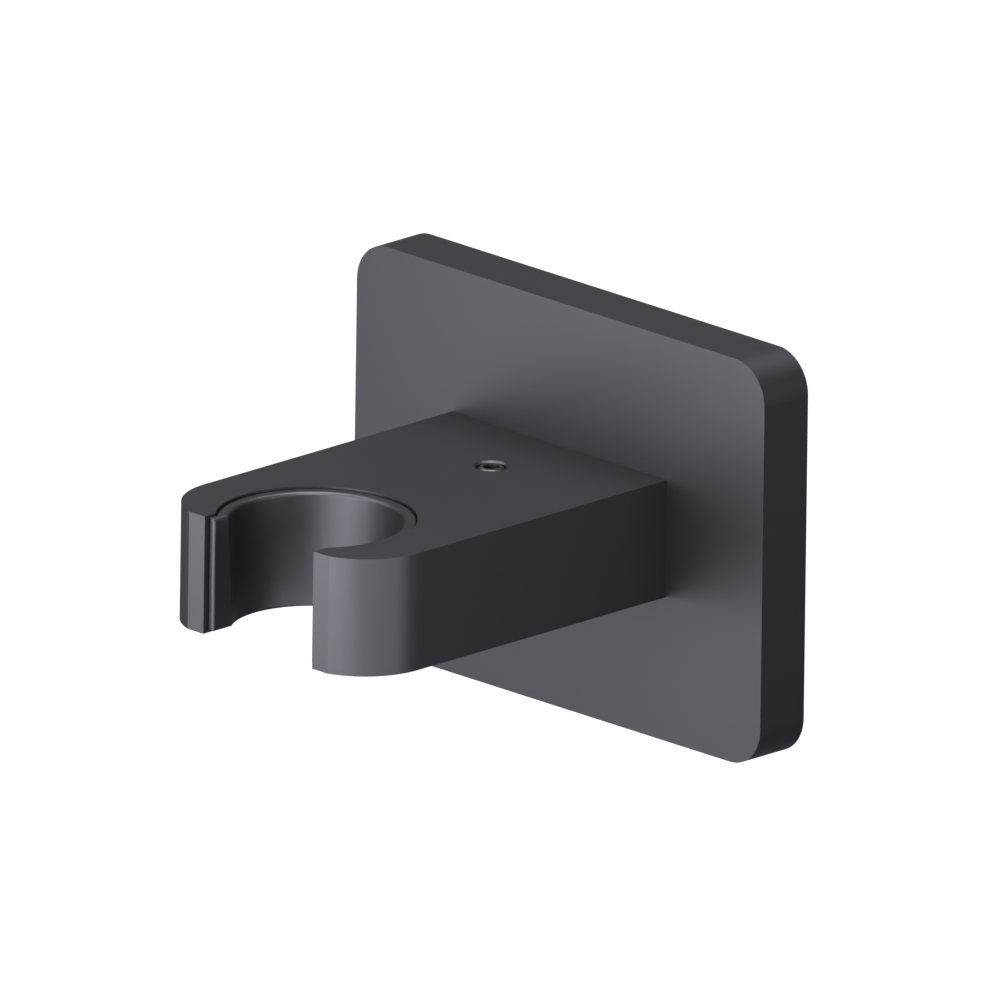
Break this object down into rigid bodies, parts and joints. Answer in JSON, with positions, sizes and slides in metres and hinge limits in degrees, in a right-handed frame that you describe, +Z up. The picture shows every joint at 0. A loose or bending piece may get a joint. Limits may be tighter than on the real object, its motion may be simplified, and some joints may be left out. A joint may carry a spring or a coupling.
{
  "type": "hand shower holder",
  "caption": "Wall holder for a hand shower: a rectangular cover plate with rounded corners and a flat forked arm, whose lined tapered seat cradles the handset.",
  "frame": {"origin": "on the wall, at the centre of the cover plate's back and of the wall bracket's base", "axes": "+Z up, -Y out of the wall into the room, +X to the right for someone who faces the wall"},
  "size_m": [0.075, 0.063, 0.055],
  "materials": {
    "body": "matt anthracite coating on a zinc casting",
    "liner": "smooth moulded plastic in the body's colour",
    "bracket": "bare zinc casting, tumbled",
    "screw": "blackened steel"
  },
  "bodies": {
    "root": {"wall_bracket": "bracket", "cover_plate": "body", "fork_arm": "body", "fork_liner": "liner", "grub_screw": "screw"}
  },
  "joints": []
}
